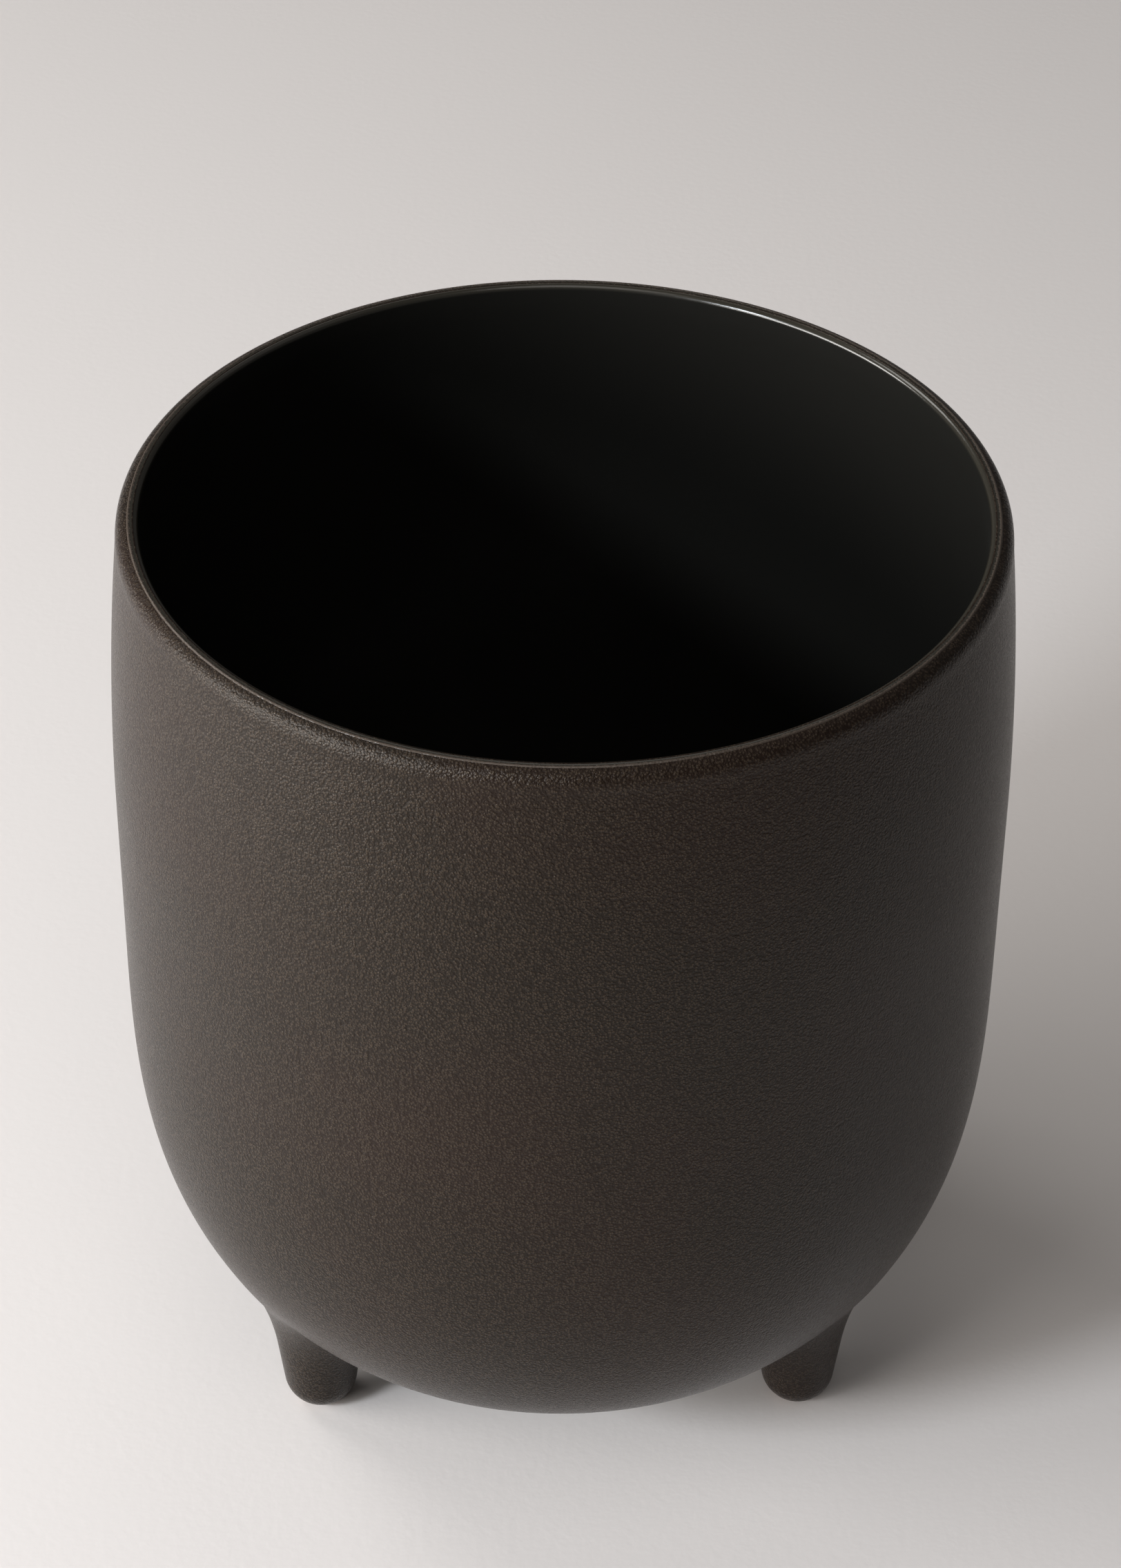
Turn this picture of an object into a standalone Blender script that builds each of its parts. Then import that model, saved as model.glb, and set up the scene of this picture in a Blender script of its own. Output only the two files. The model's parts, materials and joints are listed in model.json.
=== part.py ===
"""Empty stoneware candle jar on three feet.

The jar is a slip-cast barrel with a rounded bowl underneath.  Three solid feet are luted under
the bowl, and a coil of soft clay worked round each root leaves a broad fillet.  The inside is
poured with a liner glaze, which rolls over the top of the lip.  Metres, +Z up, the origin on the
table under the middle of the jar.  One foot points to +Y and the other two stand 120 degrees
round from it, so the open side between two feet faces -Y.
"""
import math

import bmesh
import bpy
import numpy as np
from mathutils import Matrix

# Overall sizes
JAR_HEIGHT = 0.118             # table to the top of the lip
BODY_DIAMETER = 0.100          # widest part of the barrel
MOUTH_DIAMETER = 0.0912        # across the opening, between the inner edges of the lip

# Barrel and bowl
LIP_WALL = 0.0026              # whole wall at the lip, which is also the radius of its round
SIDE_WALL = 0.0032             # whole wall down the side, clay and glaze together
FLOOR_THICKNESS = 0.0045       # clay at the middle of the floor
BELLY_DROP = 0.036             # lip top down to where the barrel reaches its full width
BOWL_DROP = 0.056              # lip top down to where the bowl starts to turn in
BOWL_CLEARANCE = 0.0099        # table to the underside of the bowl
BOWL_SQUARENESS = 3.1          # exponent of the bowl's curve: 2 is an ellipse, more is squarer

# Liner glaze
LINER_THICKNESS = 0.0005
LINER_LIP_REACH = 0.0012       # how far the liner covers the top of the lip, outward
WICK_SEAT_RADIUS = 0.011       # flat middle of the inside floor, where a wick's tab stands

# Feet
FOOT_CIRCLE_RADIUS = 0.0332    # jar's axis to each foot's axis
FOOT_TIP_RADIUS = 0.0044       # ball end of a foot
FOOT_FLAT_RADIUS = 0.0013      # flat ground under the ball end
FOOT_TAPER = math.radians(7)   # flank's lean from upright
FILLET_INNER = 0.005           # fillet's radius on the side towards the jar's axis
FILLET_EDGE = 0.0003           # how thick the fillet's thin edges stay

FIT_GAP = 0.0003               # slip between touching pieces
FOOT_AZIMUTHS = {"back": 90.0, "left": 210.0, "right": 330.0}

# Facets
TURN_STEPS = 48
FOOT_STEPS = 24
LIP_STEPS = 4
LINER_LIP_STEPS = 3
WALL_STEPS = 4
BOWL_STEPS = 12
BALL_STEPS = 5
FILLET_STEPS = 5
OVERLAP = 0.0015               # how far a rough piece runs into what trims it
CREASE_ANGLE = math.radians(40)
ON_AXIS = 1e-7                 # a profile point nearer the axis than this is a pole

# Search for the fillet's centre
BOWL_SAMPLES = 400
HALVINGS = 40
FILLET_EASE = 0.95             # step by which a fillet that starts below the ball is made smaller

MOUTH_RADIUS = MOUTH_DIAMETER / 2
BODY_RADIUS = BODY_DIAMETER / 2
BELLY_Z = JAR_HEIGHT - BELLY_DROP
BOWL_Z = JAR_HEIGHT - BOWL_DROP
BOWL_DEPTH = BOWL_Z - BOWL_CLEARANCE
FILLET_OUTER = BODY_RADIUS - FOOT_CIRCLE_RADIUS   # away from the jar's axis, the room beside a foot
SETBACK = LINER_THICKNESS + FIT_GAP               # from the liner's face in to the clay


def clear_scene():
    for found in list(bpy.data.objects):
        bpy.data.objects.remove(found, do_unlink=True)


def glaze(name, colour, roughness):
    """A fired, non-metallic finish."""
    made = bpy.data.materials.new(name)
    made.use_nodes = True
    shader = made.node_tree.nodes["Principled BSDF"]
    shader.inputs["Base Color"].default_value = (*colour, 1.0)
    shader.inputs["Roughness"].default_value = roughness
    shader.inputs["Metallic"].default_value = 0.0
    return made


def bowl_half_circle(radius, top, depth, steps):
    """Points of a superellipse quarter, from its full radius down to the axis."""
    turn = np.linspace(0.0, math.pi / 2, steps + 1)
    power = 2.0 / BOWL_SQUARENESS
    r = radius * np.maximum(np.cos(turn), 0.0) ** power
    z = top - depth * np.sin(turn) ** power
    r[-1] = 0.0
    return list(zip(r, z))


def wall_arc(start_radius, start_z, end_radius, end_z, steps):
    """Arc from (start_radius, start_z) down to end_z, where it is upright at end_radius."""
    rise = start_z - end_z
    bulge = end_radius - start_radius
    bend = (bulge ** 2 + rise ** 2) / (2 * bulge)
    z = np.linspace(start_z, end_z, steps + 1)
    r = end_radius - bend + np.sqrt(bend ** 2 - (z - end_z) ** 2)
    return list(zip(r, z))


def outer_profile(grow=0.0):
    """The jar's outside from the lip's outer round down to the axis, grown outward by grow."""
    shoulder = wall_arc(
        MOUTH_RADIUS + LIP_WALL + grow, JAR_HEIGHT - LIP_WALL, BODY_RADIUS + grow, BELLY_Z, WALL_STEPS
    )
    bowl = bowl_half_circle(BODY_RADIUS + grow, BOWL_Z, BOWL_DEPTH + grow, BOWL_STEPS)
    return shoulder + bowl


def inner_profile(offset):
    """The jar's inside from the lip down to the axis, set into the wall by offset."""
    floor_z = BOWL_CLEARANCE + FLOOR_THICKNESS + SETBACK - offset
    radius = BODY_RADIUS - SIDE_WALL + offset
    wall = wall_arc(MOUTH_RADIUS + offset, JAR_HEIGHT - LIP_WALL, radius, BELLY_Z, WALL_STEPS)
    bowl = bowl_half_circle(radius, BOWL_Z, BOWL_Z - floor_z, BOWL_STEPS)
    bowl = [(r, z) for r, z in bowl if r > WICK_SEAT_RADIUS]
    return wall + bowl + [(WICK_SEAT_RADIUS, floor_z), (0.0, floor_z)]


def quarter_round(centre_r, centre_z, radius, start, end, steps):
    """Points round a centre, with angles measured from outward towards up."""
    angles = np.linspace(start, end, steps + 1)
    return [(centre_r + radius * math.cos(a), centre_z + radius * math.sin(a)) for a in angles]


def turned_mesh(name, profile, steps):
    """Revolve a profile that starts and ends on the axis, running down the outside first."""
    build = bmesh.new()
    rings = []
    for r, z in profile:
        if r < ON_AXIS:
            rings.append([build.verts.new((0.0, 0.0, z))])
            continue
        angles = [2 * math.pi * k / steps for k in range(steps)]
        rings.append([build.verts.new((r * math.cos(a), r * math.sin(a), z)) for a in angles])
    for upper, lower in zip(rings, rings[1:]):
        for k in range(steps):
            corners = [upper[k % len(upper)], lower[k % len(lower)]]
            corners += [lower[(k + 1) % len(lower)], upper[(k + 1) % len(upper)]]
            corners = list(dict.fromkeys(corners))
            build.faces.new(corners)
    return finish_mesh(name, build)


def ring_mesh(name, sections):
    """Join closed sections, one after another and round to the first, into a ring."""
    build = bmesh.new()
    loops = [[build.verts.new(point) for point in section] for section in sections]
    for this, after in zip(loops, loops[1:] + loops[:1]):
        count = len(this)
        for k in range(count):
            step = (k + 1) % count
            build.faces.new([this[k], this[step], after[step], after[k]])
    return finish_mesh(name, build)


def finish_mesh(name, build):
    """Triangulate, face outward, and hand over as a mesh."""
    bmesh.ops.recalc_face_normals(build, faces=build.faces)
    bmesh.ops.triangulate(build, faces=build.faces)
    if build.calc_volume(signed=True) < 0:
        bmesh.ops.reverse_faces(build, faces=build.faces)
    mesh = bpy.data.meshes.new(name)
    build.to_mesh(mesh)
    build.free()
    mesh.shade_smooth()
    mesh.set_sharp_from_angle(angle=CREASE_ANGLE)
    return mesh


def place(name, mesh, finish=None, turn=None):
    """Put a mesh in the scene, turned about the jar's axis where that is given."""
    made = bpy.data.objects.new(name, mesh)
    bpy.context.scene.collection.objects.link(made)
    if finish:
        mesh.materials.append(finish)
    if turn is not None:
        made.matrix_world = turn
    return made


def cutter(name, mesh, turn=None):
    made = place(name, mesh, turn=turn)
    made.hide_render = True
    made.display_type = "WIRE"
    return made


def cut(piece, tool):
    trim = piece.modifiers.new("clear_of_" + tool.name, "BOOLEAN")
    trim.operation = "DIFFERENCE"
    trim.solver = "EXACT"
    trim.object = tool


def shell_mesh():
    """Clay shell: the outside, the rounded lip, and the inside set back for the liner."""
    lip_z = JAR_HEIGHT - LIP_WALL
    lip = quarter_round(MOUTH_RADIUS + SETBACK, lip_z, LIP_WALL - SETBACK, 0.0, math.pi / 2, LIP_STEPS)
    inside = inner_profile(SETBACK)
    profile = inside[::-1][:-1] + lip[::-1] + outer_profile()[1:]
    return turned_mesh("jar_shell", profile, TURN_STEPS)


def liner_mesh():
    """Liner coat: the inside surface, rolled over the lip, and its back face a gap off the clay."""
    lip_z = JAR_HEIGHT - LIP_WALL
    under_radius = LIP_WALL - LINER_THICKNESS
    reach = math.acos(LINER_LIP_REACH / LIP_WALL)
    under_reach = math.acos((LINER_LIP_REACH - SETBACK) / under_radius)
    top = quarter_round(MOUTH_RADIUS, lip_z, LIP_WALL, math.pi / 2, reach, LINER_LIP_STEPS)
    under = quarter_round(
        MOUTH_RADIUS + SETBACK, lip_z, under_radius, under_reach, math.pi / 2, LINER_LIP_STEPS
    )
    front = inner_profile(0.0)
    back = inner_profile(LINER_THICKNESS)
    corner = (back[0][0], under[-1][1])
    profile = front[::-1] + top + under + [corner] + back
    return turned_mesh("liner_glaze", profile, TURN_STEPS)


def bowl_underside(radius):
    """Height of the bowl's underside at a distance from the jar's axis."""
    share = np.clip(radius / BODY_RADIUS, 0.0, 1.0)
    return BOWL_Z - BOWL_DEPTH * (1.0 - share ** BOWL_SQUARENESS) ** (1.0 / BOWL_SQUARENESS)


def foot_ball_height():
    return math.sqrt(FOOT_TIP_RADIUS ** 2 - FOOT_FLAT_RADIUS ** 2)


def flank_radius(z):
    """Foot's half-width at a height above its ball's shoulder."""
    ball_z = foot_ball_height() - FOOT_TIP_RADIUS * math.sin(FOOT_TAPER)
    return FOOT_TIP_RADIUS * math.cos(FOOT_TAPER) + (z - ball_z) * math.tan(FOOT_TAPER)


def foot_mesh(name):
    """A foot about its own axis, run up past the bowl's underside."""
    centre = foot_ball_height()
    low = -math.acos(FOOT_FLAT_RADIUS / FOOT_TIP_RADIUS)
    ball = quarter_round(0.0, centre, FOOT_TIP_RADIUS, -FOOT_TAPER, low, BALL_STEPS)
    top = float(bowl_underside(FOOT_CIRCLE_RADIUS + 2 * FOOT_TIP_RADIUS)) + OVERLAP
    profile = [(0.0, top), (flank_radius(top), top)] + ball + [(0.0, ball[-1][1])]
    return turned_mesh(name, profile, FOOT_STEPS)


def fillet_centre(radius, direction, offset):
    """Where an arc of this radius touches both the foot's flank and the bowl, in the upright
    plane through the foot's axis at this direction from outward."""
    reach = np.linspace(0.0, BODY_RADIUS, BOWL_SAMPLES)
    along = FOOT_CIRCLE_RADIUS + reach * math.cos(direction)
    across = reach * math.sin(direction)
    distance = np.hypot(along, across)
    inside = distance < BODY_RADIUS
    bowl = np.stack([reach[inside], bowl_underside(distance[inside])])
    stand_off = radius + offset
    low, high = -JAR_HEIGHT, float(bowl_underside(FOOT_CIRCLE_RADIUS))
    for _ in range(HALVINGS):
        z = (low + high) / 2
        s = flank_radius(z) + stand_off / math.cos(FOOT_TAPER)
        nearest = np.hypot(bowl[0] - s, bowl[1] - z).min()
        below = z < np.interp(s, bowl[0], bowl[1])
        if below and nearest > stand_off:
            low = z
        else:
            high = z
    touch = bowl[:, np.hypot(bowl[0] - s, bowl[1] - z).argmin()]
    return s, z, touch


def beside_foot(height):
    """Distance from the foot's axis to the fillet's inner side."""
    return flank_radius(height) + FIT_GAP / math.cos(FOOT_TAPER)


def fillet_section(direction):
    """Closed section of the fillet: its arc, a point run into the bowl, and its side by the foot."""
    share = (1 + math.cos(direction)) / 2
    radius = FILLET_INNER + (FILLET_OUTER - FILLET_INNER) * share
    offset = FIT_GAP + FILLET_EDGE
    s, z, touch = fillet_centre(radius, direction, offset)
    while z < foot_ball_height() + radius * math.sin(FOOT_TAPER):
        radius *= FILLET_EASE
        s, z, touch = fillet_centre(radius, direction, offset)
    start = math.pi - FOOT_TAPER
    end = math.atan2(touch[1] - z, touch[0] - s)
    angles = np.linspace(start, end, FILLET_STEPS + 1)
    arc = [(s + radius * math.cos(a), z + radius * math.sin(a)) for a in angles]
    in_bowl_s = arc[-1][0] + math.cos(end) * (offset + OVERLAP)
    in_bowl_z = arc[-1][1] + math.sin(end) * (offset + OVERLAP)
    in_bowl_s = max(in_bowl_s, beside_foot(in_bowl_z) + FILLET_EDGE)
    corner_z = max(in_bowl_z, float(bowl_underside(FOOT_CIRCLE_RADIUS)) + OVERLAP)
    inner_side = [(beside_foot(h), h) for h in (corner_z, arc[0][1])]
    return arc + [(in_bowl_s, in_bowl_z)] + inner_side


def fillet_mesh(name):
    """The fillet ring about a foot's axis, with +X away from the jar's axis."""
    sections = []
    for k in range(FOOT_STEPS):
        direction = 2 * math.pi * k / FOOT_STEPS
        flat = fillet_section(direction)
        across = (math.cos(direction), math.sin(direction))
        sections.append([(s * across[0], s * across[1], z) for s, z in flat])
    return ring_mesh(name, sections)


def solid_bowl_mesh():
    """The jar's outside, closed across the top and grown by the fit gap, which trims the feet."""
    profile = [(0.0, JAR_HEIGHT)] + [(MOUTH_RADIUS, JAR_HEIGHT)] + outer_profile(FIT_GAP)
    return turned_mesh("bowl_clearance", profile, TURN_STEPS)


def make_feet(stoneware):
    bowl_clearance = cutter("bowl_clearance", solid_bowl_mesh())
    for side, azimuth in FOOT_AZIMUTHS.items():
        out = Matrix.Translation((FOOT_CIRCLE_RADIUS, 0.0, 0.0))
        turn = Matrix.Rotation(math.radians(azimuth), 4, "Z") @ out
        foot = place("foot_" + side, foot_mesh("foot_" + side), stoneware, turn)
        cut(foot, bowl_clearance)
        fillet = place("luting_fillet_" + side, fillet_mesh("luting_fillet_" + side), stoneware, turn)
        cut(fillet, bowl_clearance)


def main():
    clear_scene()
    stoneware = glaze("pebbled_brown_black_glaze", (0.030, 0.023, 0.018), 0.50)
    liner = glaze("black_liner_glaze", (0.006, 0.006, 0.006), 0.28)
    place("jar_shell", shell_mesh(), stoneware)
    place("liner_glaze", liner_mesh(), liner)
    make_feet(stoneware)


main()
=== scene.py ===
"""Looks of an empty stoneware candle jar on three feet, made around its fixed frame.

The jar is one turned shell in a pebbled brown-black glaze.  A smooth black liner coat fills its
inside and rolls over the lip, where it ends in a low bead.  Each foot and the clay fillet round
its root are one surface that flares into the bowl, with the tip left as bare clay.  Metres, +Z up.
"""

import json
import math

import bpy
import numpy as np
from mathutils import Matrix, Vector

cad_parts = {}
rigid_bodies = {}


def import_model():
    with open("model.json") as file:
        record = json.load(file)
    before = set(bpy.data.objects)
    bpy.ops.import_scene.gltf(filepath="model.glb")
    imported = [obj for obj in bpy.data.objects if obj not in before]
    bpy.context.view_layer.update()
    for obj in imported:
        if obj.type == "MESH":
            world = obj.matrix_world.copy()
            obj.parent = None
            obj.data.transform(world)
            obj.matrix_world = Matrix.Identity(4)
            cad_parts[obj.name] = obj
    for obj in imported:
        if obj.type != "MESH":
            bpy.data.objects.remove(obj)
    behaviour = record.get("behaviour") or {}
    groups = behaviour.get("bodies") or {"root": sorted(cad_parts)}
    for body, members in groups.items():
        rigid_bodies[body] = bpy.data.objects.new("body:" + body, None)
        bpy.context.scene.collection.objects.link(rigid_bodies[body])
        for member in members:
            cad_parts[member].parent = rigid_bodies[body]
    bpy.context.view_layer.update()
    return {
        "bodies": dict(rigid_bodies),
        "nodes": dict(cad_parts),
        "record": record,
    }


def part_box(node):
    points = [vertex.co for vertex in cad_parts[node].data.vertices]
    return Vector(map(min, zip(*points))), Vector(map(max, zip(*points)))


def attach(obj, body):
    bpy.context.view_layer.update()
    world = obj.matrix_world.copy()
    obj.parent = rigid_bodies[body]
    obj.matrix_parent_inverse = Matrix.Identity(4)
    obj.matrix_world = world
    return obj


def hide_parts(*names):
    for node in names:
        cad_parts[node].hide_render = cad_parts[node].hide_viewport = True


bl_info = {
    "name": "Footed Candle Jar",
    "version": (1, 0, 0),
    "blender": (4, 5, 0),
    "location": "3D View > Sidebar > Candle Jar",
    "description": "Makes the glazed surfaces of an empty candle jar and its studio",
    "category": "Object",
}

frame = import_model()

BODY = "root"
JAR_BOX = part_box("jar_shell")
FOOT_SIDES = ("back", "left", "right")
MOUNTS = {mount["name"]: mount["pos_m"] for mount in frame["record"]["mounts"]}
FOOT_PLACES = {side: MOUNTS["rest_foot_" + side] for side in FOOT_SIDES}
WICK_SEAT_Z = MOUNTS["wick_seat"][2]

OUTER_GLAZE = "pebbled_outer_glaze"
QUARTER_TURN = math.pi / 2
FULL_TURN = 2 * math.pi

# Columns round a surface, and steps along its profile
JAR_COLUMNS = 320
LINER_COLUMNS = 384
FOOT_COLUMNS = 128
TABLE_CORNERS = 96
BARREL_STEPS, SIDE_STEPS, BOWL_STEPS = 36, 12, 96
NECK_STEPS, INNER_BARREL_STEPS, INNER_SIDE_STEPS, INNER_BOWL_STEPS = 3, 24, 8, 60
LIP_STEPS = 28
LINER_EDGE_STEPS, LINER_TOP_STEPS, BEAD_STEPS = 12, 5, 8
BALL_STEPS, FLANK_STEPS, FILLET_STEPS, CAP_STEPS = 18, 4, 40, 9
DENSE = 3000                        # samples that an even curve is drawn from
NUDGE = 1e-5                        # metres either way that a slope is measured over

# Parts of the mesh that a neighbour hides
LIP_START = 0.2                     # share of the lip's round that the jar leaves to the liner
WALL_BEHIND = 1.1                   # jar's inside wall, in liner thicknesses behind the mouth
BACK_BELOW = 0.9                    # top of the liner's back, in thicknesses below the lip's top
PAST_FILLET = (0.0006, 0.0010)      # rows inside the wall, in metres past the fillet's edge
SINK_ROWS = 3                       # rows that the cap takes to sink into the wall

# Small forms
FLAT_RINGS = (0.0, 0.5, 0.85)       # rings of a foot's ground flat, as shares of its radius
BEAD_SWELL = 3                      # power that the liner swells towards its bead by
BEAD_TUCK = 0.6                     # how far the bead's edge ends under the lip, in bead heights


# ---------------------------------------------------------------- sizes, colours and stage


def length(label, text, default):
    return bpy.props.FloatProperty(
        name=label, description=text, default=default, unit="LENGTH", precision=5
    )


def colour(label, text, default):
    return bpy.props.FloatVectorProperty(
        name=label, description=text, default=default, subtype="COLOR", size=3, min=0.0, max=1.0
    )


def number(label, text, default):
    return bpy.props.FloatProperty(name=label, description=text, default=default, precision=4)


def turn(label, text, degrees):
    return bpy.props.FloatProperty(
        name=label, description=text, default=math.radians(degrees), subtype="ANGLE", precision=4
    )


class CandleJarSizes(bpy.types.PropertyGroup):
    height: length("Height", "Table to the top of the lip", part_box("liner_glaze")[1].z)
    body_radius: length("Body radius", "Half the widest part of the barrel", JAR_BOX[1].x)
    mouth_radius: length("Mouth radius", "Half the opening", 0.0456)
    lip_wall: length("Lip wall", "Wall at the lip, and reach of its round", 0.0026)
    lip_squareness: number("Lip squareness", "Exponent of the lip's round", 2.9)
    side_wall: length("Side wall", "Clay and glaze down the side", 0.0032)
    belly_drop: length("Belly drop", "Lip top down to the full width", 0.036)
    bowl_drop: length("Bowl drop", "Lip top down to where the bowl turns in", 0.056)
    bowl_clearance: length("Bowl clearance", "Table to the bowl", JAR_BOX[0].z)
    bowl_squareness: number("Bowl squareness", "Exponent of the bowl's curve", 3.1)
    floor_z: length("Floor height", "Table to the inside floor", WICK_SEAT_Z)
    edge_round: length("Inner edge round", "Radius where the liner turns over the lip", 0.0007)
    liner_thickness: length("Liner thickness", "Poured coat on the inside wall", 0.0005)
    liner_reach: length("Liner reach", "How far the liner covers the lip's top", 0.0011)
    bead_height: length("Bead height", "How far the liner's edge stands proud", 0.00007)
    bead_width: length("Bead width", "Width of the liner's edge", 0.0002)
    foot_circle: length("Foot circle", "Jar's axis to a foot's axis", FOOT_PLACES["back"][1])
    foot_tip: length("Foot tip radius", "Ball end of a foot", 0.0044)
    foot_flat: length("Foot flat radius", "Ground flat under the ball end", 0.0013)
    foot_taper: turn("Foot taper", "Flank's lean from upright", 7.0)
    flare_inner: length("Inner flare", "Foot's axis to its fillet's edge, inwards", 0.0095)
    flare_outer: length("Outer flare", "Foot's axis to its fillet's edge, outwards", 0.0145)
    flare_start: number("Flare start", "Share of the height where a foot begins to flare", 0.2)
    flare_pull: number("Flare pull", "Fillet curve's arms, as a share of its chord", 0.45)
    flare_sink: length("Flare sink", "How far the fillet's edge runs into the bowl", 0.0004)
    bare_height: length("Bare clay height", "Height of the unglazed foot tip", 0.0011)
    pebble: length("Pebble size", "Width of one pebble of the grain", 0.00029)
    pebble_depth: length("Pebble depth", "Height of the grain", 0.00007)


class CandleJarColours(bpy.types.PropertyGroup):
    glaze: colour("Glaze", "Brown-black outer glaze", (0.0085, 0.0056, 0.0037))
    glaze_thin: colour("Thin glaze", "Where it thins over a pebble", (0.034, 0.0238, 0.0160))
    glaze_rust: colour("Rust patches", "Faint redder clouds in glaze", (0.0112, 0.0060, 0.0040))
    liner: colour("Liner", "Black liner glaze", (0.0085, 0.0083, 0.0074))
    liner_lip: colour("Liner on the lip", "Thinner liner on its top", (0.019, 0.0170, 0.0125))
    # Warm tint painted on the liner's bead. It stands in for the tan highlight that the bead
    # catches where it is lit.
    painted_bead_highlight: colour("Liner edge", "Thin liner at its bead", (0.050, 0.037, 0.028))
    clay: colour("Bare clay", "Unglazed stoneware at a foot's tip", (0.110, 0.066, 0.040))
    table: colour("Table", "Pale floor", (0.695, 0.667, 0.657))


class CandleJarStage(bpy.types.PropertyGroup):
    camera_distance: length("Camera distance", "Level distance from the jar's axis", 0.37085)
    camera_height: length("Camera height", "Above the table", 0.36397)
    camera_swing: turn("Camera swing", "Round the jar from straight in front", -1.36)
    camera_aim: turn("Camera aim", "Turned off the jar's axis", 0.027)
    camera_pitch: turn("Camera pitch", "Below level", 37.4367)
    camera_roll: turn("Camera roll", "About its own line of sight", 0.5576)
    camera_lens: number("Camera lens", "Focal length in millimetres", 95.07)
    table_radius: length("Table radius", "The round floor", 4.0)


def settings():
    scene = bpy.context.scene
    return scene.candle_jar_sizes, scene.candle_jar_colours, scene.candle_jar_stage


# ---------------------------------------------------------------- surfaces


def evenly(r, z, steps):
    """A curve through the points, with steps + 1 points at equal distances along it."""
    run = np.concatenate([[0.0], np.cumsum(np.hypot(np.diff(r), np.diff(z)))])
    at = np.linspace(0.0, run[-1], steps + 1)
    return np.interp(at, run, r), np.interp(at, run, z)


def bowl_curve(radius, top, depth, squareness, steps):
    """Superellipse quarter: radius x cos^(2/n) across and depth x sin^(2/n) down, rim to axis."""
    angle = np.linspace(0.0, QUARTER_TURN, DENSE)
    power = 2.0 / squareness
    r = radius * np.maximum(np.cos(angle), 0.0) ** power
    z = top - depth * np.sin(angle) ** power
    r[-1] = 0.0
    return evenly(r, z, steps)


def barrel_arc(start_r, start_z, end_r, end_z, steps):
    """Circle's arc from the shoulder down to the belly, upright where it meets the full width."""
    rise, bulge = start_z - end_z, end_r - start_r
    bend = (bulge ** 2 + rise ** 2) / (2 * bulge)
    z = np.linspace(start_z, end_z, steps + 1)
    return end_r - bend + np.sqrt(bend ** 2 - (z - end_z) ** 2), z


def round_arc(centre_r, centre_z, radius, start, end, steps):
    """Circle's arc round a centre, with angles from outward towards up."""
    angle = np.linspace(start, end, steps + 1)
    return centre_r + radius * np.cos(angle), centre_z + radius * np.sin(angle)


def lip_height(sizes, along):
    """Height of the lip at a distance out from the mouth: a superellipse quarter solved for z."""
    share = np.clip(along / sizes.lip_wall, 0.0, 1.0) ** sizes.lip_squareness
    rise = sizes.lip_wall * (1.0 - share) ** (1.0 / sizes.lip_squareness)
    return sizes.height - sizes.lip_wall + rise


def join(*runs):
    """One profile from runs of points that each end where the next begins."""
    r = np.concatenate([run[0][1 if k else 0:] for k, run in enumerate(runs)])
    z = np.concatenate([run[1][1 if k else 0:] for k, run in enumerate(runs)])
    return r, z


def backwards(run):
    return run[0][::-1], run[1][::-1]


def upright(radius, start_z, end_z, steps):
    """Straight run at one radius."""
    return np.full(steps + 1, radius), np.linspace(start_z, end_z, steps + 1)


def outside(sizes):
    """The jar's outside: arc from the lip's shoulder, upright side, and bowl curve to the axis."""
    shoulder, radius = sizes.mouth_radius + sizes.lip_wall, sizes.body_radius
    shoulder_z = sizes.height - sizes.lip_wall
    belly_z, bowl_z = sizes.height - sizes.belly_drop, sizes.height - sizes.bowl_drop
    barrel = barrel_arc(shoulder, shoulder_z, radius, belly_z, BARREL_STEPS)
    side = upright(radius, belly_z, bowl_z, SIDE_STEPS)
    depth = bowl_z - sizes.bowl_clearance
    return join(barrel, side, bowl_curve(radius, bowl_z, depth, sizes.bowl_squareness, BOWL_STEPS))


def inside(sizes, offset, top_z):
    """The jar's inside: upright neck from top_z, arc, side, and bowl curve to the axis.

    The offset is how far the whole of it lies behind the liner's face.
    """
    mouth, radius = sizes.mouth_radius + offset, sizes.body_radius - sizes.side_wall + offset
    shoulder_z = sizes.height - sizes.lip_wall
    belly_z, bowl_z = sizes.height - sizes.belly_drop, sizes.height - sizes.bowl_drop
    neck = upright(mouth, top_z, shoulder_z, NECK_STEPS)
    barrel = barrel_arc(mouth, shoulder_z, radius, belly_z, INNER_BARREL_STEPS)
    side = upright(radius, belly_z, bowl_z, INNER_SIDE_STEPS)
    depth = bowl_z - sizes.floor_z + offset
    bowl = bowl_curve(radius, bowl_z, depth, sizes.bowl_squareness, INNER_BOWL_STEPS)
    return join(neck, barrel, side, bowl)


def turned(profile, columns):
    """Profile carried once round the jar's axis: a grid of points, rows by columns by 3."""
    r, z = profile
    angle = np.linspace(0.0, FULL_TURN, columns, endpoint=False)
    x = r[:, None] * np.cos(angle)
    y = r[:, None] * np.sin(angle)
    return np.stack([x, y, np.broadcast_to(z[:, None], x.shape)], axis=2)


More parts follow.
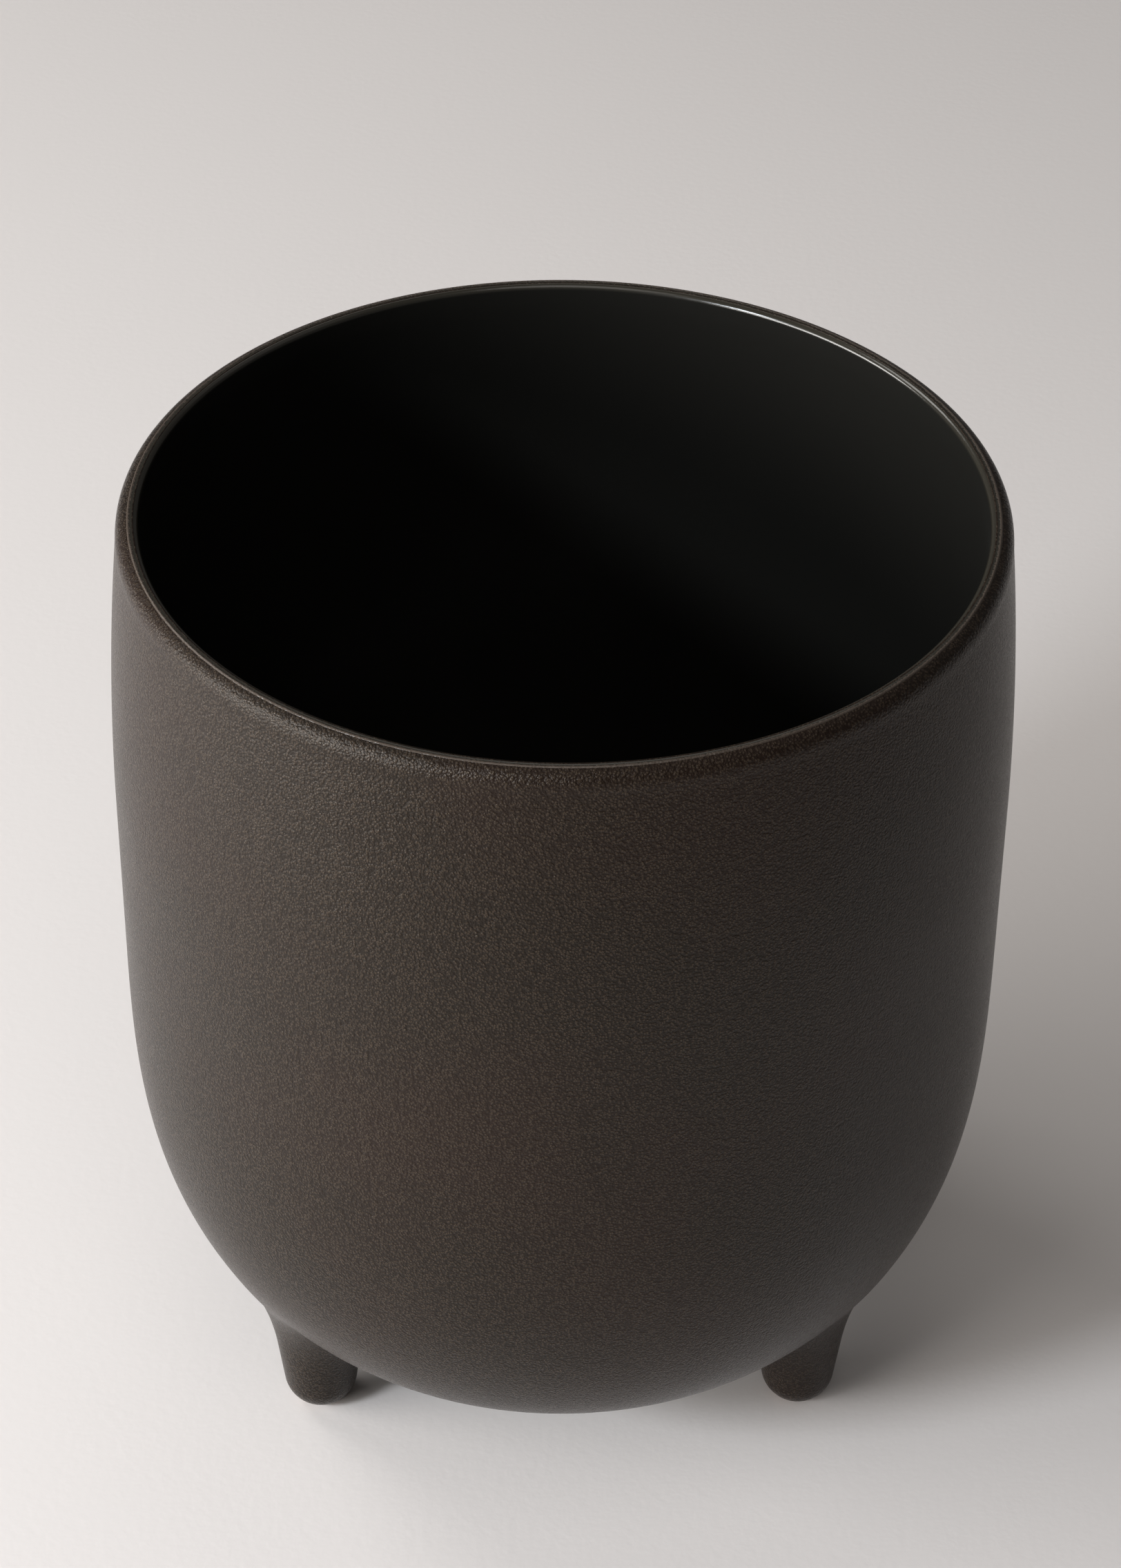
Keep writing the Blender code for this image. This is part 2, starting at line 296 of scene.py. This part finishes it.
def closed_mesh(name, grid):
    """A grid whose columns run round and whose first and last rows are poles, as a closed mesh.

    Quads join neighbouring rows, triangles fan to each pole, and the winding is turned over if
    the signed volume is negative, so that faces point outward.
    """
    rows, columns = grid.shape[:2]
    points = np.concatenate([grid[:1, 0], grid[1:-1].reshape(-1, 3), grid[-1:, 0]])
    here = np.arange(columns)
    after = np.roll(here, -1)
    row = 1 + columns * np.arange(rows - 3)[:, None]
    below = row + columns
    quads = np.stack([row + here, row + after, below + after, below + here], axis=2).reshape(-1, 4)
    last = len(points) - 1
    first_fan = np.stack([np.zeros_like(here), 1 + after, 1 + here], axis=1)
    last_ring = last - columns
    last_fan = np.stack([np.full_like(here, last), last_ring + here, last_ring + after], axis=1)
    fans = np.concatenate([first_fan, last_fan])
    triangles = np.concatenate([fans, quads[:, :3], quads[:, [0, 2, 3]]])
    a, b, c = (points[triangles[:, k]] for k in range(3))
    if np.einsum("ij,ij->i", a, np.cross(b, c)).sum() < 0:
        quads, fans = quads[:, ::-1], fans[:, ::-1]
    corners = np.concatenate([quads.ravel(), fans.ravel()]).astype(np.int32)
    sizes = np.concatenate([np.full(len(quads), 4), np.full(len(fans), 3)])
    starts = np.concatenate([[0], np.cumsum(sizes)[:-1]]).astype(np.int32)
    mesh = bpy.data.meshes.new(name)
    mesh.vertices.add(len(points))
    mesh.vertices.foreach_set("co", points.astype(np.float32).ravel())
    mesh.loops.add(len(corners))
    mesh.loops.foreach_set("vertex_index", corners)
    mesh.polygons.add(len(starts))
    mesh.polygons.foreach_set("loop_start", starts)
    mesh.update(calc_edges=True)
    if mesh.validate():
        raise RuntimeError(name + " is not a sound mesh")
    mesh.shade_smooth()
    return mesh


def put(name, mesh, material):
    """Link a finished mesh at the origin, in place of an earlier piece of the same name."""
    if not len(mesh.polygons):
        raise RuntimeError(name + " has no faces")
    old = bpy.data.objects.get(name)
    if old:
        bpy.data.objects.remove(old, do_unlink=True)
    made = bpy.data.objects.new(name, mesh)
    bpy.context.scene.collection.objects.link(made)
    mesh.materials.append(material)
    return made


def jar_grid(sizes):
    """The jar's profile turned round its axis: inside wall, ledge, lip's round, and outside.

    The inside wall stands back behind the liner, and a ledge under the liner joins it to the lip.
    """
    quarter = np.linspace(0.0, QUARTER_TURN, DENSE)
    start = LIP_START * sizes.lip_wall
    along = start + (sizes.lip_wall - start) * np.sin(quarter)
    lip = evenly(sizes.mouth_radius + along, lip_height(sizes, along), LIP_STEPS)
    behind = WALL_BEHIND * sizes.liner_thickness
    wall = inside(sizes, behind, sizes.height - sizes.liner_thickness)
    ledge = np.array([wall[0][0], lip[0][0]]), np.array([wall[1][0], lip[1][0]])
    return turned(join(backwards(wall), ledge, lip, outside(sizes)), JAR_COLUMNS)


def liner_grid(sizes):
    """The poured coat's profile turned round the axis: front, edge, top, bead, under and back.

    The top follows the lip.  It swells to the bead's height as a cube of the way to the bead, and
    falls off the bead as a square of the way across it.
    """
    small = sizes.edge_round
    small_z = float(lip_height(sizes, small)) - small
    edge_r = sizes.mouth_radius + small
    edge = round_arc(edge_r, small_z, small, math.pi, QUARTER_TURN, LINER_EDGE_STEPS)
    reach, end = sizes.liner_reach, sizes.liner_reach + sizes.bead_width
    to_bead = np.linspace(small, reach, LINER_TOP_STEPS + 1)
    along = np.concatenate([to_bead, np.linspace(reach, end, BEAD_STEPS + 1)[1:]])
    fall = np.clip((along - reach) / sizes.bead_width, 0.0, 1.0) ** 2
    swell = np.clip((along - small) / (reach - small), 0.0, 1.0) ** BEAD_SWELL
    proud = sizes.bead_height * (swell * (1 - fall) - BEAD_TUCK * fall)
    top = sizes.mouth_radius + along, lip_height(sizes, along) + proud
    front = inside(sizes, 0.0, small_z)
    back_z = sizes.height - BACK_BELOW * sizes.liner_thickness
    back = inside(sizes, sizes.liner_thickness, back_z)
    end_r, end_z = top[0][-1], top[1][-1]
    under = (
        np.array([end_r, end_r, back[0][0]]),
        np.array([end_z, end_z - sizes.bead_width, back[1][0]]),
    )
    return turned(join(backwards(front), edge, top, under, back), LINER_COLUMNS)


def bowl_underside(sizes, r):
    """Height of the bowl's underside at distance r from the axis: superellipse solved for z."""
    bowl_z = sizes.height - sizes.bowl_drop
    share = np.clip(r / sizes.body_radius, 0.0, 1.0) ** sizes.bowl_squareness
    depth = bowl_z - sizes.bowl_clearance
    return bowl_z - depth * (1.0 - share) ** (1.0 / sizes.bowl_squareness)


def foot_grid(sizes, place):
    """One foot: ground flat, ball end, leaning flank, fillet into the bowl, and a hidden cap.

    The flank is a cone tangent to the ball.  The fillet is a cubic Bezier curve in the upright
    plane of each direction round the foot.  It leaves along the flank and arrives along the bowl,
    at a distance that goes from flare_inner to flare_outer as (1 + cos direction) / 2.  The cap
    lies just inside the bowl's underside.
    """
    direction = np.linspace(0.0, FULL_TURN, FOOT_COLUMNS, endpoint=False)
    lean = sizes.foot_taper

    def bowl_at(across):
        along = sizes.foot_circle + across * np.cos(direction)
        return bowl_underside(sizes, np.hypot(along, across * np.sin(direction)))

    ball_centre = math.sqrt(sizes.foot_tip ** 2 - sizes.foot_flat ** 2)
    low = -math.acos(sizes.foot_flat / sizes.foot_tip)
    ball_s, ball_z = round_arc(0.0, ball_centre, sizes.foot_tip, low, -lean, BALL_STEPS)
    outward = (1 + np.cos(direction)) / 2
    reach = sizes.flare_inner + (sizes.flare_outer - sizes.flare_inner) * outward
    end_z = bowl_at(reach)
    slope = (bowl_at(reach + NUDGE) - bowl_at(reach - NUDGE)) / (2 * NUDGE)
    waist_z = ball_z[-1] + sizes.flare_start * (end_z - ball_z[-1])
    waist_s = ball_s[-1] + (waist_z - ball_z[-1]) * math.tan(lean)
    share = np.linspace(0.0, 1.0, FLANK_STEPS + 1)[1:, None]
    flank_s = ball_s[-1] + (waist_s - ball_s[-1]) * share
    flank_z = ball_z[-1] + (waist_z - ball_z[-1]) * share

    arm = sizes.flare_pull * np.hypot(reach - waist_s, end_z - waist_z)
    arrive = arm / np.hypot(1.0, slope)
    t = np.linspace(0.0, 1.0, FILLET_STEPS + 1)[1:, None]
    weights = (1 - t) ** 3, 3 * t * (1 - t) ** 2, 3 * t ** 2 * (1 - t), t ** 3
    knots_s = waist_s, waist_s + arm * math.sin(lean), reach - arrive, reach
    knots_z = waist_z, waist_z + arm * math.cos(lean), end_z - arrive * slope, end_z
    fillet_s = sum(weight * knot for weight, knot in zip(weights, knots_s))
    fillet_z = sum(weight * knot for weight, knot in zip(weights, knots_z))

    past = reach + np.array(PAST_FILLET)[:, None]
    inward = np.linspace(1.0, 0.0, CAP_STEPS + 1)[1:, None]
    hidden_s = np.concatenate([past, past[-1] * inward])
    sunk = np.minimum(np.arange(1, len(hidden_s) + 1) / SINK_ROWS, 1.0)[:, None] ** 2
    hidden_z = bowl_at(hidden_s) + sizes.flare_sink * sunk

    ones = np.ones(FOOT_COLUMNS)
    flat_s = np.array(FLAT_RINGS)[:, None] * sizes.foot_flat * ones
    across = np.concatenate([flat_s, ball_s[:, None] * ones, flank_s, fillet_s, hidden_s])
    up = np.concatenate([0 * flat_s, ball_z[:, None] * ones, flank_z, fillet_z, hidden_z])
    out = math.atan2(place[1], place[0])
    x = place[0] + across * np.cos(direction + out)
    y = place[1] + across * np.sin(direction + out)
    return np.stack([x, y, up], axis=2)


# ---------------------------------------------------------------- materials

# Outer glaze
FINE_WIDTH, COARSE_WIDTH = 0.5, 2.2     # finer and coarser grain, in pebbles across
PEBBLE_SHARE = 0.55                     # of the grain; the finer grain is the rest
COARSE_SHARE = 0.4                      # of the coarser grain, added to the height only
GRAIN_GAIN = 2.0                        # height of the grain, in pebble depths
CLOUD_WIDTH, CLOUD_HEIGHT = 0.012, 0.00006
RUST_WIDTH = 0.035
THIN_GRAIN = 0.46, 0.70                 # grain over which the glaze thins
RUST_CLOUD = 0.42, 0.68                 # noise over which a rust patch begins
TIP_WANDER, TIP_FADE = 0.0006, 0.0006   # glaze's lower edge on a foot
GLAZE_ROUGHNESS = 0.24
CLOUD_DULLS, THIN_SHINES, BARE_DULLS = 0.10, 0.06, 0.45
GLAZE_SPECULAR = 0.20
GLAZE_SPECULAR_TINT = (1.0, 0.93, 0.86, 1.0)

# Liner glaze
PEEL_WIDTH, PEEL_HEIGHT = 0.0024, 0.00003
LINER_CLOUD_WIDTH = 0.016
BEAD_WANDER = 0.0006                    # how far the bead's band strays, in metres: its painted highlight tint, duller gloss and grain
BEAD_BEFORE = 0.0002, 0.0001            # short of the bead, where its band with the painted highlight tint starts
LIP_BELOW = 0.0007, 0.0002              # below the lip's top, where the thinner coat starts
LINER_ROUGHNESS = 0.17
LINER_CLOUD_DULLS, BEAD_DULLS = 0.08, 0.10

# Table
BOARD_CLOUD_WIDTH, BOARD_TOOTH_WIDTH, BOARD_TOOTH_HEIGHT = 0.12, 0.0012, 0.00002
BOARD_SHADE = 0.97                      # darkest cloud, as a share of the table's colour
BOARD_ROUGHNESS, BOARD_CLOUD_DULLS = 0.75, 0.1


class Value:
    """A shader value.  Arithmetic on it adds the Math nodes that work it out."""

    def __init__(self, finish, socket):
        self.finish = finish
        self.socket = socket

    def maths(self, operation, *operands):
        settings = {"operation": operation}
        return self.finish.add("ShaderNodeMath", settings, dict(enumerate(operands)))

    def __add__(self, other):
        return self.maths("ADD", self, other)

    def __radd__(self, other):
        return self.maths("ADD", other, self)

    def __sub__(self, other):
        return self.maths("SUBTRACT", self, other)

    def __rsub__(self, other):
        return self.maths("SUBTRACT", other, self)

    def __mul__(self, other):
        return self.maths("MULTIPLY", self, other)

    def __rmul__(self, other):
        return self.maths("MULTIPLY", other, self)

    def __pow__(self, other):
        return self.maths("POWER", self, other)

    def __rpow__(self, other):
        return self.maths("POWER", other, self)


class Finish:
    """A material under construction."""

    def __init__(self, name):
        old = bpy.data.materials.get(name)
        if old:
            bpy.data.materials.remove(old)
        self.material = bpy.data.materials.new(name)
        self.material.use_nodes = True
        self.tree = self.material.node_tree
        self.shader = self.tree.nodes["Principled BSDF"]

    def add(self, kind, settings=None, sockets=None, output=0):
        """Add a node: its settings first, then its sockets' values or links.  Gives an output."""
        node = self.tree.nodes.new(kind)
        for key, value in (settings or {}).items():
            setattr(node, key, value)
        for key, value in (sockets or {}).items():
            self.feed(node.inputs[key], value)
        return Value(self, node.outputs[output])

    def feed(self, socket, value):
        if isinstance(value, Value):
            self.tree.links.new(value.socket, socket)
        elif socket.type == "RGBA" and len(value) == 3:
            socket.default_value = (*value, 1.0)
        else:
            socket.default_value = value

    def place(self):
        """Where on the object, in metres."""
        return self.add("ShaderNodeTexCoord", output="Object")

    def coordinates(self, place):
        """The three coordinates of a place."""
        split = self.add("ShaderNodeSeparateXYZ", sockets={0: place})
        outputs = split.socket.node.outputs
        return [Value(self, outputs[axis]) for axis in ("X", "Y", "Z")]

    def noise(self, place, width, detail=2.0, roughness=0.5):
        """Cloudy noise whose lumps are about width metres across, from 0 to 1."""
        sockets = {"Vector": place, "Scale": 1.0 / width, "Detail": detail, "Roughness": roughness}
        return self.add("ShaderNodeTexNoise", {"normalize": True}, sockets)

    def pebbles(self, place, width):
        """Rounded lumps about width metres across: 1 at a lump's top, falling to its edge."""
        sockets = {"Vector": place, "Scale": 1.0 / width, "Randomness": 1.0}
        return 1.0 - self.add("ShaderNodeTexVoronoi", {"feature": "F1"}, sockets)

    def step(self, value, start, end):
        """A smooth step from 0 at start to 1 at end."""
        settings = {"interpolation_type": "SMOOTHSTEP", "clamp": True}
        sockets = {"Value": value, "From Min": start, "From Max": end}
        return self.add("ShaderNodeMapRange", settings, sockets)

    def mix(self, share, first, second):
        """A colour between two colours."""
        sockets = {"Factor": share, "A": first, "B": second}
        return self.add("ShaderNodeMix", {"data_type": "RGBA"}, sockets, output="Result")

    def bump(self, height):
        """The surface's normal, tilted by a height in metres."""
        sockets = {"Strength": 1.0, "Distance": 1.0, "Height": height}
        return self.add("ShaderNodeBump", sockets=sockets)

    def finish(self, **sockets):
        """Feed the shader, with underscores for spaces in its sockets' names."""
        for key, value in sockets.items():
            self.feed(self.shader.inputs[key.replace("_", " ")], value)
        return self.material


def outer_glaze(sizes, colours):
    """Pebbled brown-black glaze: thin and paler on each pebble, faint rust clouds, bare foot tips.

    The grain is a weighted sum of rounded pebbles and finer noise.  The height is the grain with
    a share of coarser noise, plus faint clouds.
    """
    made = Finish(OUTER_GLAZE)
    place = made.place()
    z = made.coordinates(place)[2]
    pebble = made.pebbles(place, sizes.pebble)
    fine = made.noise(place, sizes.pebble * FINE_WIDTH, roughness=0.6)
    cloud = made.noise(place, CLOUD_WIDTH, detail=3.0, roughness=0.55)
    broad = made.noise(place, RUST_WIDTH)
    coarse = made.noise(place, sizes.pebble * COARSE_WIDTH)
    grain = pebble * PEBBLE_SHARE + fine * (1.0 - PEBBLE_SHARE)
    thin = made.step(grain, *THIN_GRAIN)
    body = made.mix(made.step(broad, *RUST_CLOUD), colours.glaze, colours.glaze_rust)
    body = made.mix(thin, body, colours.glaze_thin)
    tip = sizes.bare_height
    bare = 1.0 - made.step(z + fine * TIP_WANDER, tip, tip + TIP_FADE)
    dull = GLAZE_ROUGHNESS + cloud * CLOUD_DULLS - thin * THIN_SHINES + bare * BARE_DULLS
    lumps = (grain + coarse * COARSE_SHARE) * sizes.pebble_depth * GRAIN_GAIN
    return made.finish(
        Base_Color=made.mix(bare, body, colours.clay),
        Roughness=dull,
        Normal=made.bump(lumps + cloud * CLOUD_HEIGHT),
        Specular_IOR_Level=GLAZE_SPECULAR,
        Specular_Tint=GLAZE_SPECULAR_TINT,
    )


def liner_glaze(sizes, colours):
    """Black liner: faint orange peel, satin gloss, thinner on the lip, and a warm tint painted on
    its bead as the bead's tan highlight.
    """
    made = Finish("black_liner_glaze")
    place = made.place()
    x, y, z = made.coordinates(place)
    peel = made.noise(place, PEEL_WIDTH)
    cloud = made.noise(place, LINER_CLOUD_WIDTH, detail=3.0)
    fine = made.noise(place, sizes.pebble, roughness=0.6)
    out = (x ** 2.0 + y ** 2.0) ** 0.5 + (fine - 0.5) * BEAD_WANDER
    bead = sizes.mouth_radius + sizes.liner_reach
    on_lip = made.step(z, *(sizes.height - below for below in LIP_BELOW))
    # Band at the bead: it gets the painted highlight tint, and also a duller gloss and a grain.
    edge = made.step(out, *(bead - before for before in BEAD_BEFORE)) * on_lip
    coat = made.mix(on_lip, colours.liner, colours.liner_lip)
    return made.finish(
        Base_Color=made.mix(edge, coat, colours.painted_bead_highlight),
        Roughness=LINER_ROUGHNESS + cloud * LINER_CLOUD_DULLS + edge * BEAD_DULLS,
        Normal=made.bump(peel * PEEL_HEIGHT + fine * edge * sizes.pebble_depth),
    )


def table_finish(colours):
    """Matt painted board: faint clouds and a fine tooth."""
    made = Finish("pale_table")
    place = made.place()
    cloud = made.noise(place, BOARD_CLOUD_WIDTH, detail=3.0)
    tooth = made.noise(place, BOARD_TOOTH_WIDTH)
    darker = tuple(BOARD_SHADE * part for part in colours.table)
    return made.finish(
        Base_Color=made.mix(cloud, colours.table, darker),
        Roughness=BOARD_ROUGHNESS + cloud * BOARD_CLOUD_DULLS,
        Normal=made.bump(tooth * BOARD_TOOTH_HEIGHT),
    )


# ---------------------------------------------------------------- operators


class CANDLEJAR_OT_jar(bpy.types.Operator):
    """Make the turned shell in its pebbled glaze"""
    bl_idname = "candle_jar.jar"
    bl_label = "Jar"

    def execute(self, context):
        sizes, colours, _ = settings()
        jar = put("jar", closed_mesh("jar", jar_grid(sizes)), outer_glaze(sizes, colours))
        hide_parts("jar_shell")
        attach(jar, BODY)
        return {"FINISHED"}


class CANDLEJAR_OT_liner(bpy.types.Operator):
    """Make the poured black coat inside the jar and over its lip"""
    bl_idname = "candle_jar.liner"
    bl_label = "Liner"

    def execute(self, context):
        sizes, colours, _ = settings()
        liner = put("liner", closed_mesh("liner", liner_grid(sizes)), liner_glaze(sizes, colours))
        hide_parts("liner_glaze")
        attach(liner, BODY)
        return {"FINISHED"}


class CANDLEJAR_OT_feet(bpy.types.Operator):
    """Make the three feet with their fillets into the bowl"""
    bl_idname = "candle_jar.feet"
    bl_label = "Feet"

    def execute(self, context):
        sizes, colours, _ = settings()
        glaze = bpy.data.materials.get(OUTER_GLAZE) or outer_glaze(sizes, colours)
        for side, place in FOOT_PLACES.items():
            name = "glazed_foot_" + side
            foot = put(name, closed_mesh(name, foot_grid(sizes, place)), glaze)
            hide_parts("foot_" + side, "luting_fillet_" + side)
            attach(foot, BODY)
        return {"FINISHED"}


SENSOR_WIDTH = 36.0                     # millimetres
CLIP_START, CLIP_END = 0.01, 20.0
AIR_TINT, AIR_STRENGTH = (1.0, 0.97, 0.94, 1.0), 0.09
LIGHT_DISTANCE = 0.9
LIGHT_AIM = Vector((0.0, 0.0, 0.05))
LIGHTS = (
    # name, degrees round from -X towards -Y, degrees above level, width, height, watts, colour
    ("window_left", 17.0, 13.0, 1.05, 0.32, 14.9, (1.0, 0.975, 0.945)),
    ("window_back_left", -35.0, 42.0, 0.35, 0.35, 1.8, (1.0, 0.98, 0.95)),
    ("sky_front_left", 38.0, 30.0, 0.20, 0.12, 4.9, (0.90, 0.95, 1.0)),
    ("room_front", 84.0, 58.0, 0.6, 0.6, 1.35, (1.0, 0.955, 0.92)),
    ("room_back", 265.0, 60.0, 0.5, 0.5, 0.5, (1.0, 0.93, 0.86)),
    ("room_right", 195.0, 50.0, 0.8, 0.5, 0.2, (1.0, 0.96, 0.93)),
)


class CANDLEJAR_OT_stage(bpy.types.Operator):
    """Set the table, the lights and the camera"""
    bl_idname = "candle_jar.stage"
    bl_label = "Stage"

    def execute(self, context):
        _, colours, stage = settings()
        angle = np.linspace(0.0, FULL_TURN, TABLE_CORNERS, endpoint=False)
        rim = np.stack([np.cos(angle), np.sin(angle), 0 * angle], axis=1) * stage.table_radius
        mesh = bpy.data.meshes.new("table")
        mesh.from_pydata(rim.tolist(), [], [list(range(len(rim)))])
        table = put("table", mesh, table_finish(colours))
        for light in LIGHTS:
            self.light(*light)
        self.world()
        self.camera(stage)
        context.scene.view_settings.view_transform = "Standard"
        return {"FINISHED"}

    def light(self, name, azimuth, elevation, width, height, watts, tint):
        made = bpy.data.lights.new(name, "AREA")
        made.shape = "ELLIPSE"
        made.size, made.size_y = width, height
        made.energy = watts
        made.color = tint
        lamp = bpy.data.objects.new(name, made)
        a, e = math.radians(azimuth), math.radians(elevation)
        away = Vector((-math.cos(a) * math.cos(e), -math.sin(a) * math.cos(e), math.sin(e)))
        lamp.location = away * LIGHT_DISTANCE + LIGHT_AIM
        lamp.rotation_mode = "QUATERNION"
        lamp.rotation_quaternion = away.to_track_quat("Z", "Y")
        lamp.visible_camera = False
        bpy.context.scene.collection.objects.link(lamp)

    def world(self):
        scene = bpy.context.scene
        scene.world = bpy.data.worlds.new("studio_air")
        scene.world.use_nodes = True
        background = scene.world.node_tree.nodes["Background"]
        background.inputs["Color"].default_value = AIR_TINT
        background.inputs["Strength"].default_value = AIR_STRENGTH

    def camera(self, stage):
        lens = bpy.data.cameras.new("camera")
        lens.sensor_width = SENSOR_WIDTH
        lens.lens = stage.camera_lens
        lens.clip_start, lens.clip_end = CLIP_START, CLIP_END
        camera = bpy.data.objects.new("camera", lens)
        camera.matrix_world = (
            Matrix.Rotation(stage.camera_swing, 4, "Z")
            @ Matrix.Translation((0.0, -stage.camera_distance, stage.camera_height))
            @ Matrix.Rotation(stage.camera_aim, 4, "Z")
            @ Matrix.Rotation(QUARTER_TURN - stage.camera_pitch, 4, "X")
            @ Matrix.Rotation(stage.camera_roll, 4, "Z")
        )
        bpy.context.scene.collection.objects.link(camera)
        bpy.context.scene.camera = camera


class CANDLEJAR_PT_panel(bpy.types.Panel):
    """The jar's pieces, sizes and colours"""
    bl_idname = "CANDLEJAR_PT_panel"
    bl_label = "Candle Jar"
    bl_space_type = "VIEW_3D"
    bl_region_type = "UI"
    bl_category = "Candle Jar"

    def draw(self, context):
        for made in OPERATORS:
            self.layout.operator(made.bl_idname)
        for group in settings():
            box = self.layout.box()
            for key in group.__annotations__:
                box.prop(group, key)


OPERATORS = (CANDLEJAR_OT_stage, CANDLEJAR_OT_jar, CANDLEJAR_OT_liner, CANDLEJAR_OT_feet)
GROUPS = {
    "candle_jar_sizes": CandleJarSizes,
    "candle_jar_colours": CandleJarColours,
    "candle_jar_stage": CandleJarStage,
}


def register():
    for made in (*GROUPS.values(), *OPERATORS, CANDLEJAR_PT_panel):
        bpy.utils.register_class(made)
    for name, group in GROUPS.items():
        setattr(bpy.types.Scene, name, bpy.props.PointerProperty(type=group))


def unregister():
    for name in GROUPS:
        delattr(bpy.types.Scene, name)
    for made in (CANDLEJAR_PT_panel, *reversed(OPERATORS), *GROUPS.values()):
        bpy.utils.unregister_class(made)


def clear_studio():
    """Remove what a new Blender file starts with, and keep the frame."""
    kept = {*frame["bodies"].values(), *frame["nodes"].values()}
    for found in list(bpy.data.objects):
        if found not in kept:
            bpy.data.objects.remove(found, do_unlink=True)


def main():
    register()
    clear_studio()
    bpy.ops.candle_jar.stage()
    bpy.ops.candle_jar.jar()
    bpy.ops.candle_jar.liner()
    bpy.ops.candle_jar.feet()


if __name__ == "__main__":
    main()
